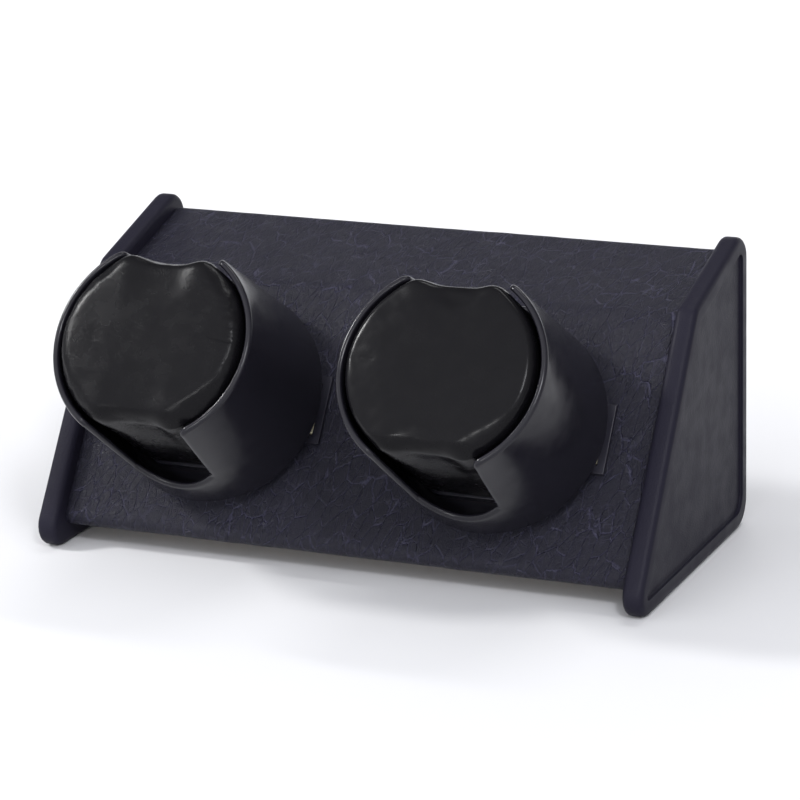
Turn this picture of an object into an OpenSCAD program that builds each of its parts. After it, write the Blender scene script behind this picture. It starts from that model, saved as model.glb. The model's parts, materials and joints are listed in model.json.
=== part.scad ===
// Winder for two wrist watches. A leather-covered case stands between two moulded end plates,
// and two motor-driven cups stand square to its sloping front panel.
// Millimetres. +X is to the right seen from the front, +Y to the back, +Z up. The origin is on
// the table, under the middle of the whole outline.

/* [End plates] */
// Width over both end plates
case_w = 240; // [236:1:260]
// Depth from the toe line to the back
case_d = 124; // [124:0.5:128]
// Distance of the knee behind the toe
knee_d = 66; // [65:0.5:67]
// Height of the knee
knee_h = 97.5; // [96.5:0.5:99]
// Height of the back edge before its corner is rounded
top_h = 115; // [114:0.5:117]
// Thickness of an end plate
plate_t = 8; // [7:0.5:10]
// Rounding of the end plates' long edges
plate_edge_r = 2.4; // [1:0.2:3]
// Border around the recess in an end plate's outer face
recess_border = 6.2; // [5:0.2:8]
// Depth of that recess
recess_depth = 1.2; // [0.6:0.2:2]

/* [Case body] */
// How far the leather lies inside the end plates' outline
body_inset = 5.5; // [4:0.5:6]
// Gap between the body's underside and the table
body_clear = 7.5; // [6:0.5:9]
// Thickness of the leather cover
leather_t = 1.2; // [0.8:0.1:1.5]
// Thickness of the wooden panels
panel_t = 5; // [4:0.5:5]
// Thickness of the removable back panel
back_t = 3; // [2:0.5:3]

/* [Cups] */
// Distance between the two cup axes
cup_pitch = 111; // [110:1:114]
// Distance of the cup axes up the front slope from the toe
cup_up = 68.2; // [67:0.2:70]
// Outer radius at the rim
cup_rim_r = 38.5; // [38.4:0.1:39]
// Outer radius at the base
cup_base_r = 41; // [40.5:0.1:42]
// Gap between the cup and the leather
cup_gap = 6; // [6:0.5:8]
// Height of the rim above the leather
cup_top = 70; // [66:1:74]
// Thickness of the cup's wall
cup_wall = 2.4; // [2:0.1:2.4]
// Height of the notches' floor above the leather, at its two ends
notch_floor = 30; // [26:1:36]
// How much lower that floor is at its middle
notch_sag = 6.7; // [0:0.1:8]
// Half width of a notch at its floor
notch_floor_w = 15.5; // [14:0.5:17]
// Half width of a notch at the rim
notch_rim_w = 19.5; // [18:0.5:22]

/* [Cuffs] */
// Radius of a cuff's outline
cuff_r = 35.2; // [33:0.1:35.4]
// Half height of a cuff over its flat top and bottom
cuff_flat = 31; // [28:0.5:31]
// Height of a cuff's front face above the leather
cuff_top = 74; // [70:1:78]
// Rounding of a cuff's front edge
cuff_edge_r = 5; // [3:0.5:7]

/* [Drive] */
// Teeth of the gear on the output shaft
drive_teeth = 54; // [54]
// Teeth of the pinion that drives it
idler_pinion_teeth = 14; // [14]
// Teeth of the idler's large gear
idler_teeth = 48; // [48]
// Teeth of the pinion on the motor
motor_teeth = 12; // [12]
// Radius of the output shaft
shaft_r = 3; // [2.5:0.5:3]
// Radial clearance of everything that turns
run_gap = 0.05; // [0.03:0.01:0.08]
// Backlash of the gears along the pitch circle
backlash = 0.16; // [0.12:0.02:0.2]

/* [Switch] */
// Travel of the slide switch's knob
switch_travel = 11.6; // [8:0.2:11.6]

/* [Battery case] */
// Radius of a cell
cell_r = 13.1; // [12:0.1:13.1]
// Length of a cell without its cap
cell_l = 48.5; // [46:0.5:48.5]

/* [Hidden] */
$fn = 64;
// Distance that the cups reach in front of the toe line
cup_reach = 32.75;
origin_y = -(case_d - cup_reach) / 2;
inner_w = case_w - 2 * plate_t;
slope = atan2(knee_h, knee_d);
eps = 0.01;

// Side outline of an end plate with sharp corners: toe, heel, top and knee
toe_r = 8;
heel_r = 11;
top_r = 9;
knee_r = 7;
outline = [[0, 0], [case_d, 0], [case_d, top_h], [knee_d, knee_h]];
outline_r = [toe_r, heel_r, top_r, knee_r];

// The leather's outer surface, the wood under it, and the room inside
body = inset(outline, [body_clear, body_inset, body_inset, body_inset]);
wood = inset(body, leather_t * [1, 1, 1, 1]);
room = inset(wood, panel_t * [1, 1, 1, 1]);
body_r = [4, 2, 3, 10];
back_y = wood[1].x;

// Cup axis at the leather, in the side view
cup_y = cup_up * cos(slope) + body_inset * sin(slope);
cup_z = cup_up * sin(slope) - body_inset * cos(slope);

// Winding unit, measured from the leather along the cup axis
bezel_half = [40.5, 12.9];
boss_half = [39, 11.4];
pocket_half = [37.5, 9.9];
skirt_wall = 0.6;
skirt_top = -2.5;
bezel_top = 2;
pocket_z = 0.3;
wood_back = -(leather_t + panel_t);
gearcase_lo = [-43, -25];
gearcase_hi = [26, 30];
gearcase_wall = 2;
gearcase_front_t = 3;
gearcase_back = -26.2;
cover_t = 2.5;
gear_module = 0.8;
fine_module = 0.5;
idler_x = -(drive_teeth + idler_pinion_teeth) * gear_module / 2;
motor_y = (idler_teeth + motor_teeth) * fine_module / 2;
drive_z = [-18.7, -12.7];
idler_z = [-24.7, -20.7];
pin_r = 1.5;
bush_r = 5;
screw_r = 1.5;
hole_gap = 0.1;
screw_at = [for (x = [gearcase_lo.x + 3.6, gearcase_hi.x - 3.6])
            for (y = [gearcase_lo.y + 3.6, gearcase_hi.y - 3.6]) [x, y]];
motor_screw_at = [for (s = [-1, 1]) [idler_x + s * 8.5, motor_y]];

// Switch and control board
switch_x = 35.5;
knob_half = [1.7, 2.2];
knob_y = -7;
board_z = -11.6;
board_lo = [29.5, -22];
board_hi = [50, 24];

// Battery case, at the back under the top panel
cell_at = [99.3, 75.5];
tray_wall = 1.5;
tray_half = 54;
tray_r = cell_r + tray_wall;
back_face = back_y - 2;
back_in = back_face - back_t;
door_half = 51;
door_z = [62, 88.6];
door_t = 2.4;
door_pin_r = 1;
door_axis = [back_face - door_t / 2, door_z[0] + door_t / 2];

// Direct-current inlet
inlet_z = 30;
inlet_r = 4;
wire_r = 1.2;

plate_screw_at = [[32, 20], [98, 18], [104, 84], [72, 76]];
back_screw_z = [24, 54];

// ---- Outlines ----

function line_cross(p, u, q, v) =
    p + u * (((q - p).x * v.y - (q - p).y * v.x) / (u.x * v.y - u.y * v.x));

function edge_dir(pts, i) =
    let (a = pts[i], b = pts[(i + 1) % len(pts)]) (b - a) / norm(b - a);

// Moves each edge of a counter-clockwise outline inwards by its own distance
function inset(pts, d) = [
    for (i = [0 : len(pts) - 1])
    let (h = (i + len(pts) - 1) % len(pts), u = edge_dir(pts, h), v = edge_dir(pts, i))
    line_cross(pts[i] + d[h] * [-u.y, u.x], u, pts[i] + d[i] * [-v.y, v.x], v)];

// Rounds each corner of a counter-clockwise convex outline with its own radius
function rounded(pts, r, steps = 8) = [
    for (i = [0 : len(pts) - 1])
    let (
        h = (i + len(pts) - 1) % len(pts),
        u = edge_dir(pts, h),
        v = edge_dir(pts, i),
        turn = atan2(u.x * v.y - u.y * v.x, u * v),
        c = pts[i] - u * r[i] * tan(turn / 2) + r[i] * [-u.y, u.x],
        start = atan2(-u.x, u.y))
    for (k = r[i] > 0 ? [0 : steps] : [0 : 0])
        c + r[i] * [cos(start + turn * k / steps), sin(start + turn * k / steps)]];

// A circle of radius r cut off at plus and minus flat, with corners softened by corner_r
function cuff_outline(r, flat, corner_r, steps = 5) =
    let (
        inner = r - corner_r,
        y = flat - corner_r,
        x = sqrt(inner * inner - y * y),
        side = atan2(y, x),
        corner = [for (k = [0 : steps])
            let (a = side + (90 - side) * k / steps) [x, y] + corner_r * [cos(a), sin(a)]],
        arc = [for (k = [1 : 11]) let (a = -side + 2 * side * k / 12) r * [cos(a), sin(a)]])
    concat(
        arc,
        corner,
        [for (k = [steps : -1 : 0]) [-corner[k].x, corner[k].y]],
        -arc,
        -corner,
        [for (k = [steps : -1 : 0]) [corner[k].x, -corner[k].y]]);

// Faces of a closed skin over a stack of rings with the same number of points
function skin_faces(rings, sides) = concat(
    [for (i = [0 : rings - 2]) for (k = [0 : sides - 1])
        let (a = i * sides + k, b = i * sides + (k + 1) % sides)
        each [[a, b + sides, b], [a, a + sides, b + sides]]],
    [[for (k = [0 : sides - 1]) k]],
    [[for (k = [sides - 1 : -1 : 0]) (rings - 1) * sides + k]]);

// A solid through flat outlines, each given as [height, points]
module loft(sections) {
    sides = len(sections[0][1]);
    polyhedron(
        [for (s = sections) for (p = s[1]) [p.x, p.y, s[0]]],
        skin_faces(len(sections), sides),
        convexity = 4);
}

// ---- Gears ----

function involute(a) = tan(a) * 180 / PI - a;

// Half the angle that a tooth takes up at radius r
function tooth_half(teeth, m, r) =
    let (pitch_r = teeth * m / 2, base_r = pitch_r * cos(20))
    90 / teeth + involute(20) - involute(acos(min(1, base_r / r)))
    - backlash / 2 / pitch_r * 180 / PI;

// Outline of a spur gear with its first tooth on +X, turned by phase
function gear_outline(teeth, m, phase = 0) =
    let (
        pitch_r = teeth * m / 2,
        base_r = pitch_r * cos(20),
        root_r = pitch_r - 1.15 * m,
        foot_r = max(base_r, root_r + 0.05),
        tip_r = pitch_r + 0.8 * m,
        radii = [foot_r, pitch_r, (pitch_r + tip_r) / 2, tip_r])
    [for (i = [0 : teeth - 1])
        let (at = phase + 360 * i / teeth, foot = tooth_half(teeth, m, foot_r))
        each concat(
            [root_r * [cos(at - foot), sin(at - foot)]],
            [for (r = radii) let (a = at - tooth_half(teeth, m, r)) r * [cos(a), sin(a)]],
            [for (k = [3 : -1 : 0])
                let (r = radii[k], a = at + tooth_half(teeth, m, r)) r * [cos(a), sin(a)]],
            [root_r * [cos(at + foot), sin(at + foot)]])];

// ---- Placing ----

module in_case() {
    translate([0, origin_y, 0])
        children();
}

// Draws a side outline and extrudes it along X, from x1 to x2
module along_x(x1, x2) {
    in_case()
        translate([x1, 0, 0])
            rotate([90, 0, 90])
                linear_extrude(x2 - x1)
                    children();
}

// The frame of one winding unit: Z is the cup axis, Y runs up the slope
module at_cup(side) {
    in_case()
        translate([side * cup_pitch / 2, cup_y, cup_z])
            rotate([slope, 0, 0])
                children();
}

module block(lo, hi, z1, z2) {
    translate([lo.x, lo.y, z1])
        cube([hi.x - lo.x, hi.y - lo.y, z2 - z1]);
}

module rod(r, z1, z2) {
    translate([0, 0, z1])
        cylinder(r = r, h = z2 - z1);
}

module screw(r, z1, z2, head_r, head_t) {
    rod(r, z1, z2);
    translate([0, 0, z1 - head_t])
        difference() {
            cylinder(r1 = head_r * 0.8, r2 = head_r, h = head_t);
            for (a = [0, 90])
                rotate(a)
                    translate([-head_r * 0.6, -0.35, -eps])
                        cube([head_r * 1.2, 0.7, head_t * 0.55]);
        }
}

// ---- Case ----

module end_plate(side) {
    all_round = [1, 1, 1, 1];
    // Height above one face against inset of the outline, over the rounded edge
    edge = [for (k = [0 : 4]) plate_edge_r * [1 - cos(22.5 * k), 1 - sin(22.5 * k)]];
    sections = concat(
        edge,
        [for (k = [4 : -1 : 0]) [plate_t - edge[k].x, edge[k].y]]);
    color("#26262b")
        in_case()
            scale([side, 1, 1])
                translate([inner_w / 2, 0, 0])
                    rotate([90, 0, 90])
                        difference() {
                            loft([for (s = sections)
                                [s.x, rounded(inset(outline, s.y * all_round),
                                    outline_r - s.y * all_round)]]);
                            translate([0, 0, plate_t - recess_depth])
                                linear_extrude(recess_depth + 1)
                                    polygon(rounded(
                                        inset(outline, recess_border * all_round),
                                        [1.5, 7, 3, 3]));
                            for (p = plate_screw_at)
                                translate([p.x, p.y, -1])
                                    cylinder(r = screw_r + hole_gap, h = 6);
                        }
}

module end_board(side) {
    board_x = inner_w / 2;
    color("#b09468")
        scale([side, 1, 1])
            difference() {
                along_x(board_x - panel_t, board_x)
                    polygon([room[0], [back_in, room[0].y], [back_in, room_top(back_in)],
                        room[3]]);
                along_x(board_x - panel_t - 1, board_x + 1)
                    for (p = plate_screw_at)
                        translate(p)
                            circle(r = screw_r + hole_gap);
                back_holes();
            }
}

// Height of the top panel's underside at depth y
function room_top(y) =
    room[3].y + (y - room[3].x) * (room[2].y - room[3].y) / (room[2].x - room[3].x);

module back_holes() {
    in_case()
        for (z = back_screw_z)
            for (s = [-1, 1])
                translate([s * (inner_w - panel_t) / 2, back_face + 1, z])
                    rotate([90, 0, 0])
                        cylinder(r = 1.1 + hole_gap, h = 14);
}

module wood_part(pts) {
    color("#b09468")
        along_x(-inner_w / 2, inner_w / 2)
            intersection() {
                polygon(pts);
                polygon(rounded(wood, body_r - leather_t * [1, 0, 1, 1]));
            }
}

module bezel_windows(grow) {
    for (side = [-1, 1])
        at_cup(side)
            block(-boss_half - grow * [1, 1], boss_half + grow * [1, 1], -12, 4);
}

module panel_screw_holes() {
    for (side = [-1, 1])
        at_cup(side)
            for (p = screw_at)
                translate([p.x, p.y, wood_back - 1])
                    cylinder(r = screw_r + hole_gap, h = 4.4);
}

module front_panel() {
    difference() {
        wood_part([wood[0], room[0], room[3], wood[3]]);
        color("#b09468")
            bezel_windows(0.2);
        color("#b09468")
            panel_screw_holes();
    }
}

module top_panel() {
    wood_part([wood[3], room[3], [back_y, room_top(back_y)], wood[2]]);
}

module bottom_panel() {
    wood_part([wood[0], wood[1], [back_y, room[0].y], room[0]]);
}

module leather_cover() {
    color("#1d1d22")
        difference() {
            along_x(-inner_w / 2, inner_w / 2)
                difference() {
                    polygon(rounded(body, body_r));
                    polygon(rounded(wood, body_r - leather_t * [1, 0, 1, 1]));
                    translate([body[0].x + 16, 0])
                        square([case_d, body_clear + leather_t + 2]);
                    translate([back_y - 3, 0])
                        square([case_d, body[2].y - 8]);
                }
            bezel_windows(0.2);
        }
}

module back_panel() {
    top_z = room_top(back_in) - 0.4;
    color("#303035")
        difference() {
            in_case()
                translate([-inner_w / 2 + 0.3, back_in, room[0].y + 0.3])
                    cube([inner_w - 0.6, back_t, top_z - room[0].y - 0.3]);
            in_case()
                translate([-tray_half, back_in - 1, door_z[0] - 0.8])
                    cube([2 * tray_half, back_t + 2, door_z[1] - door_z[0] + 1.2]);
            in_case()
                translate([0, back_face + 1, inlet_z])
                    rotate([90, 0, 0])
                        cylinder(r = inlet_r + hole_gap, h = back_t + 2);
            back_holes();
        }
}

module end_plate_screws() {
    head_x = inner_w / 2 - panel_t;
    color("silver")
        for (side = [-1, 1])
            scale([side, 1, 1])
                in_case()
                    translate([head_x, 0, 0])
                        rotate([90, 0, 90])
                            for (p = plate_screw_at)
                                translate(p)
                                    screw(screw_r, 0, panel_t + 4.5, 2.9, 1.8);
}

module back_screws() {
    color("silver")
        in_case()
            for (z = back_screw_z)
                for (s = [-1, 1])
                    translate([s * (inner_w - panel_t) / 2, back_face, z])
                        rotate([90, 0, 0])
                            screw(1.1, 0, 11, 2.3, 1.5);
}

// ---- Power ----

module battery_tray() {
    y1 = cell_at.x - tray_r;
    z1 = cell_at.y - tray_r;
    color("#2b2b2e")
        difference() {
            in_case()
                union() {
                    translate([-tray_half, y1, z1])
                        cube([2 * tray_half, back_in - y1, 2 * tray_r]);
                    for (s = [-1, 1])
                        translate([s * (door_half + 1.4) - 0.8, back_in - 2,
                            door_z[0] - 0.5])
                            cube([1.6, 4.6, 4]);
                }
            in_case()
                translate([-tray_half + tray_wall, y1 + tray_wall, z1 + tray_wall])
                    cube([2 * (tray_half - tray_wall), 40, 2 * cell_r]);
            in_case()
                translate([-tray_half - 1, door_axis.x, door_axis.y])
                    rotate([0, 90, 0])
                        cylinder(r = door_pin_r + run_gap, h = 2 * tray_half + 2);
        }
}

module battery_cells() {
    x1 = -tray_half + tray_wall + 0.6;
    cap = 1.4;
    for (k = [0, 1])
        in_case()
            translate([x1 + k * (cell_l + 1.5), cell_at.x, cell_at.y])
                rotate([0, 90, 0]) {
                    color("#c8a23c")
                        cylinder(r = cell_r - 0.2, h = cell_l);
                    color("silver")
                        translate([0, 0, cell_l])
                            cylinder(r = 3, h = cap);
                }
}

module battery_contacts() {
    x1 = -tray_half + tray_wall;
    x2 = x1 + 0.6 + 2 * (cell_l + 1.5);
    turns = 4;
    pitch = (tray_half - tray_wall - 0.6 - x2) / turns;
    color("silver")
        in_case()
            translate([0, cell_at.x, cell_at.y])
                rotate([0, 90, 0]) {
                    translate([-8, -8, x1])
                        cube([16, 16, 0.6]);
                    translate([-8, -8, tray_half - tray_wall - 0.6])
                        cube([16, 16, 0.6]);
                    for (k = [0 : turns - 1])
                        translate([0, 0, x2 + k * pitch])
                            difference() {
                                cylinder(r = 4.4 + 0.8 * k, h = pitch + eps);
                                translate([0, 0, -1])
                                    cylinder(r = 3.4 + 0.8 * k, h = pitch + 2);
                            }
                }
}

module battery_door() {
    color("#303035")
        in_case() {
            difference() {
                union() {
                    translate([-door_half, back_face - door_t, door_axis.y])
                        cube([2 * door_half, door_t, door_z[1] - door_axis.y]);
                    translate([-door_half, door_axis.x, door_axis.y])
                        rotate([0, 90, 0])
                            cylinder(r = door_t / 2, h = 2 * door_half);
                }
                for (k = [-1 : 1])
                    translate([-14, back_face - 0.6, door_z[1] - 5 + 1.6 * k])
                        cube([28, 1, 0.8]);
            }
            for (s = [-1, 1])
                translate([s * (door_half + 0.95) - 1.15, door_axis.x, door_axis.y])
                    rotate([0, 90, 0])
                        cylinder(r = door_pin_r, h = 2.3);
        }
}

module power_inlet() {
    color("#1c1c1e")
        in_case()
            translate([0, back_face + 0.4, inlet_z])
                rotate([90, 0, 0]) {
                    difference() {
                        union() {
                            cylinder(r = inlet_r, h = back_t + 0.4);
                            translate([-4.6, -5, back_t + 0.4])
                                cube([9.2, 10, 10.5]);
                        }
                        translate([0, 0, -1])
                            cylinder(r = 2.85, h = 10.5);
                    }
                    color("silver")
                        translate([0, 0, 0.8])
                            cylinder(r = 1, h = 9);
                }
}

// A round tube along a route of points
module tube(route, r, sides = 8) {
    rings = len(route);
    dir = [for (i = [0 : rings - 1])
        let (d = route[min(i + 1, rings - 1)] - route[max(i - 1, 0)]) d / norm(d)];
    pts = [for (i = [0 : rings - 1])
        let (
            t = dir[i],
            ref = abs(t.x) > 0.9 ? [0, 0, 1] : [1, 0, 0],
            u = cross(t, ref) / norm(cross(t, ref)),
            v = cross(t, u))
        for (k = [0 : sides - 1])
            route[i] + r * (cos(360 * k / sides) * u + sin(360 * k / sides) * v)];
    polyhedron(pts, skin_faces(rings, sides), convexity = 4);
}

// Smooth points through the corners of a route, three to a stretch
function soft_route(p) = concat(
    [p[0]],
    [for (i = [1 : len(p) - 2]) each [
        p[i] * 0.8 + p[i - 1] * 0.2,
        p[i] * 0.9 + (p[i - 1] + p[i + 1]) * 0.05,
        p[i] * 0.8 + p[i + 1] * 0.2]],
    [p[len(p) - 1]]);

module wiring() {
    socket_y = back_face - back_t - 10.5;
    tray_z = cell_at.y - tray_r;
    color("#8a1f1f")
        in_case() {
            tube(soft_route([[3, socket_y, 28], [3, 96, 28], [20, 92, 18], [60, 90, 17],
                [92, 80, 18], [98, 62, 26], [98, 56, 32.5], [98, 46.9, 38.66]]), wire_r);
            tube(soft_route([[-3, socket_y, 28], [-3, 97, 28], [-14, 84, 24],
                [-15, 66, 27], [-15, 56, 32.5], [-15, 46.9, 38.66]]), wire_r);
            tube(soft_route([[0, socket_y, 33], [0, 97, 33], [0, 95, 50],
                [0, 95, tray_z]]), wire_r);
        }
}

// ---- Winding unit ----

module bezel(side) {
    color("#222226")
        at_cup(side)
            difference() {
                union() {
                    block(-bezel_half, bezel_half, 0, bezel_top);
                    block(-boss_half, boss_half, wood_back, eps);
                }
                block(-pocket_half, pocket_half, pocket_z, bezel_top + 1);
                block(-boss_half + skirt_wall * [1, 1], boss_half - skirt_wall * [1, 1],
                    wood_back - 1, skirt_top);
                rod(bush_r, wood_back - 1, bezel_top);
                block([switch_x - 1.9, knob_y - 2.5],
                    [switch_x + 1.9, knob_y + switch_travel + 2.5], wood_back, bezel_top);
            }
}

module gearcase(side) {
    front_z = wood_back;
    color("#d9d6cc")
        at_cup(side)
            difference() {
                union() {
                    difference() {
                        block(gearcase_lo, gearcase_hi, gearcase_back, front_z);
                        block(gearcase_lo + gearcase_wall * [1, 1],
                            gearcase_hi - gearcase_wall * [1, 1],
                            gearcase_back - 1, front_z - gearcase_front_t);
                    }
                    for (p = screw_at)
                        translate([p.x, p.y, 0])
                            rod(3.2, gearcase_back, front_z - 1);
                    translate([idler_x, 0, 0])
                        rod(3.5, front_z - gearcase_front_t - 0.2, front_z - 1);
                }
                rod(bush_r, gearcase_back, front_z + 1);
                for (p = screw_at)
                    translate([p.x, p.y, 0])
                        rod(screw_r + hole_gap, gearcase_back - 1, front_z + 1);
                translate([idler_x, 0, 0])
                    rod(pin_r, gearcase_back, front_z - 1);
            }
}

module gearcase_cover(side) {
    back_z = gearcase_back - cover_t;
    color("#cfccc2")
        at_cup(side)
            difference() {
                union() {
                    block(gearcase_lo, gearcase_hi, back_z, gearcase_back);
                    rod(8, back_z - 3, back_z + 1);
                }
                rod(bush_r, back_z - 4, gearcase_back + 1);
                for (p = screw_at)
                    translate([p.x, p.y, 0])
                        rod(screw_r + hole_gap, back_z - 1, gearcase_back + 1);
                for (p = motor_screw_at)
                    translate([p.x, p.y, 0])
                        rod(1.25 + hole_gap, back_z - 1, gearcase_back + 1);
                translate([idler_x, 0, 0])
                    rod(pin_r, gearcase_back - 1.8, gearcase_back + 1);
                translate([idler_x, motor_y, 0])
                    rod(4, back_z - 1, gearcase_back + 1);
            }
}

module gearcase_screws(side) {
    back_z = gearcase_back - cover_t;
    color("silver")
        at_cup(side) {
            for (p = screw_at)
                translate([p.x, p.y, 0])
                    screw(screw_r, back_z, wood_back + 3, 2.9, 1.8);
            for (p = motor_screw_at)
                translate([p.x, p.y, gearcase_back])
                    mirror([0, 0, 1])
                        screw(1.25, 0, cover_t + 4, 2.4, 1.2);
        }
}

module motor(side) {
    face_z = gearcase_back - cover_t;
    color("silver")
        at_cup(side)
            translate([idler_x, motor_y, face_z])
                difference() {
                    union() {
                        rod(12.2, -9, 0);
                        rod(11.8, -29, -8.9);
                        rod(4, -30.6, -28.9);
                        for (s = [-1, 1])
                            translate([s * 6 - 1, -0.3, -32])
                                cube([2, 0.6, 3.5]);
                    }
                    rod(1 + run_gap, -6, 1);
                    for (s = [-1, 1])
                        translate([s * 8.5, 0, 0])
                            rod(1.25 + hole_gap, -4.5, 1);
                }
}

module motor_pinion(side) {
    color("gold")
        at_cup(side)
            translate([idler_x, motor_y, 0]) {
                translate([0, 0, idler_z[0] - 0.3])
                    linear_extrude(idler_z[1] - idler_z[0] + 0.6)
                        polygon(gear_outline(motor_teeth, fine_module, 180 / motor_teeth));
                rod(1, gearcase_back - cover_t - 5, idler_z[0]);
            }
}

module idler_gear(side) {
    front_z = wood_back - gearcase_front_t;
    color("ivory")
        at_cup(side)
            translate([idler_x, 0, 0])
                difference() {
                    union() {
                        translate([0, 0, idler_z[0]])
                            linear_extrude(idler_z[1] - idler_z[0])
                                polygon(gear_outline(idler_teeth, fine_module));
                        translate([0, 0, idler_z[1] - eps])
                            linear_extrude(drive_z[1] + 1 - idler_z[1])
                                polygon(gear_outline(idler_pinion_teeth, gear_module,
                                    180 / idler_pinion_teeth));
                        rod(3, gearcase_back + 0.3, front_z - 0.4);
                    }
                    rod(pin_r + run_gap, gearcase_back, front_z);
                    for (a = [0 : 60 : 300])
                        rotate(a)
                            translate([8.6, 0, 0])
                                rod(1.5, idler_z[0] - 1, idler_z[1] + 0.5);
                }
}

module idler_pin(side) {
    color("silver")
        at_cup(side)
            translate([idler_x, 0, 0])
                rod(pin_r, gearcase_back - 1.8, wood_back - 1);
}

module drive_gear(side) {
    color("ivory")
        at_cup(side)
            difference() {
                union() {
                    translate([0, 0, drive_z[0]])
                        linear_extrude(drive_z[1] - drive_z[0])
                            polygon(gear_outline(drive_teeth, gear_module));
                    rod(7, drive_z[0] - 3, drive_z[1] + 2.2);
                }
                rod(shaft_r, gearcase_back, wood_back);
                for (a = [0 : 60 : 300])
                    rotate(a)
                        translate([13.4, 0, 0])
                            rod(4, drive_z[0] - 1, drive_z[1] + 1);
            }
}

module output_shaft(side) {
    color("silver")
        at_cup(side)
            difference() {
                rod(shaft_r, -35, cup_gap + 3);
                difference() {
                    rod(shaft_r + 1, -33.4, -32.5);
                    rod(shaft_r - 0.4, -34, -32);
                }
                rod(1.3, cup_gap - 8, cup_gap + 4);
            }
}

module bush(side, z1, z2, flange_z) {
    color("#b58a3c")
        at_cup(side)
            difference() {
                union() {
                    rod(bush_r, z1, z2);
                    rod(bush_r + 1.6, flange_z, flange_z + 1);
                }
                rod(shaft_r + run_gap, z1 - 2, z2 + 2);
            }
}

module front_bush(side) {
    bush(side, wood_back - gearcase_front_t, pocket_z + 0.5, pocket_z);
}

module rear_bush(side) {
    back_z = gearcase_back - cover_t;
    bush(side, back_z - 3.2, gearcase_back, gearcase_back);
}

module circlip(side) {
    color("silver")
        at_cup(side)
            difference() {
                rod(5, -33.3, -32.6);
                rod(shaft_r - 0.38, -34, -32);
                block([-1.3, 0], [1.3, 8], -34, -32);
            }
}

// ---- Cup ----

// Outer radius of the cup at height z above the leather
function cup_r(z) =
    cup_base_r + (cup_rim_r - cup_base_r) * (z - cup_gap) / (cup_top - cup_gap);

module notch() {
    corner_r = 2.5;
    lip = 3;
    over = 30;
    side = atan2(notch_rim_w - notch_floor_w, cup_top - notch_floor);
    floor_steps = 6;
    shape = rounded(
        concat(
            [for (k = [-floor_steps : floor_steps])
                let (t = k / floor_steps)
                [notch_floor_w * t, notch_floor - notch_sag * (1 - t * t)]],
            [for (s = [1, -1]) [s * (notch_rim_w + over * tan(side)), cup_top + over]]),
        concat([corner_r], [for (k = [2 : 2 * floor_steps]) 0], [corner_r, 0, 0]));
    rotate([90, 0, 0])
        translate([0, 0, -cup_base_r - 5])
            linear_extrude(2 * cup_base_r + 10)
                polygon(shape);
    // Rounds the wings' corners at the rim
    for (s = [-1, 1])
        scale([s, 1, 1])
            translate([notch_rim_w - eps, 0, cup_top + eps])
                rotate([90, 0, 0])
                    translate([0, 0, -cup_base_r - 5])
                        linear_extrude(2 * cup_base_r + 10)
                            polygon(concat([[-1, 0.1]], [for (k = [0 : 6])
                                lip * [1 - cos(15 * k), sin(15 * k) - 1]], [[lip, 0.1]]));
}

module cup(side) {
    foot_r = 3;
    lip_r = cup_wall / 2;
    floor_z = cup_gap + 3;
    color("#19191c")
        at_cup(side)
            difference() {
                union() {
                    rotate_extrude($fn = 96)
                        polygon(concat(
                            [[0, cup_gap]],
                            [for (k = [0 : 6])
                                [cup_r(cup_gap) - foot_r + foot_r * sin(15 * k),
                                    cup_gap + foot_r * (1 - cos(15 * k))]],
                            [for (k = [0 : 10])
                                [cup_rim_r - lip_r + lip_r * cos(18 * k),
                                    cup_top - lip_r + lip_r * sin(18 * k)]],
                            [for (k = [0 : 6])
                                [cup_r(floor_z) - cup_wall - foot_r + foot_r * cos(15 * k),
                                    floor_z + foot_r * (1 - sin(15 * k))]],
                            [[0, floor_z]]));
                    rod(7, cup_gap - 3.6, cup_gap + 1);
                }
                rod(shaft_r, 0, floor_z + 1);
                notch();
            }
}

module cup_screw(side) {
    color("silver")
        at_cup(side)
            mirror([0, 0, 1])
                translate([0, 0, -(cup_gap + 3)])
                    screw(1.3, 0, 8, 5.5, 2);
}

// ---- Cuff ----

// The solid of a cuff, smaller all round by shrink: rounded at its front edge and crowned
module cuff_solid(shrink, z1) {
    r = cuff_edge_r - shrink;
    top = cuff_top - shrink;
    crown = 2;
    corner_r = 3;
    loft(concat(
        [[z1, cuff_outline(cuff_r - shrink, cuff_flat - shrink, corner_r)]],
        [for (k = [0 : 4])
            let (d = shrink + r * (1 - cos(22.5 * k)))
            [top - crown - r * (1 - sin(22.5 * k)),
                cuff_outline(cuff_r - d, cuff_flat - d, corner_r)]],
        [for (f = [0.8, 0.5])
            [top - crown * f * f, cuff_outline((cuff_r - cuff_edge_r) * f,
                (cuff_flat - cuff_edge_r) * f, corner_r * f)]]));
}

module cuff_cover(side) {
    color("#101012")
        at_cup(side)
            difference() {
                cuff_solid(0, cup_gap + 7);
                cuff_solid(1.2, cup_gap + 6);
            }
}

module cuff_foam(side) {
    color("#4a4a4a")
        at_cup(side)
            cuff_solid(1.3, cup_gap + 7.1);
}

module cuff_base(side) {
    color("#222222")
        at_cup(side)
            difference() {
                translate([0, 0, cup_gap + 3.2])
                    linear_extrude(3.7)
                        polygon(cuff_outline(cuff_r - 1.5, cuff_flat - 1.5, 3));
                rod(7.5, cup_gap + 2, cup_gap + 5.8);
            }
}

// ---- Switch and board ----

module switch_body(side) {
    color("#3a3a3d")
        at_cup(side)
            difference() {
                block([switch_x - 2.8, knob_y - 3.6],
                    [switch_x + 2.8, knob_y + switch_travel + 3.6],
                    board_z + 1.6, -2.6);
                block([switch_x - 1.2, knob_y - 2.3],
                    [switch_x + 1.2, knob_y + switch_travel + 2.3], -6, 0);
            }
}

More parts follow.
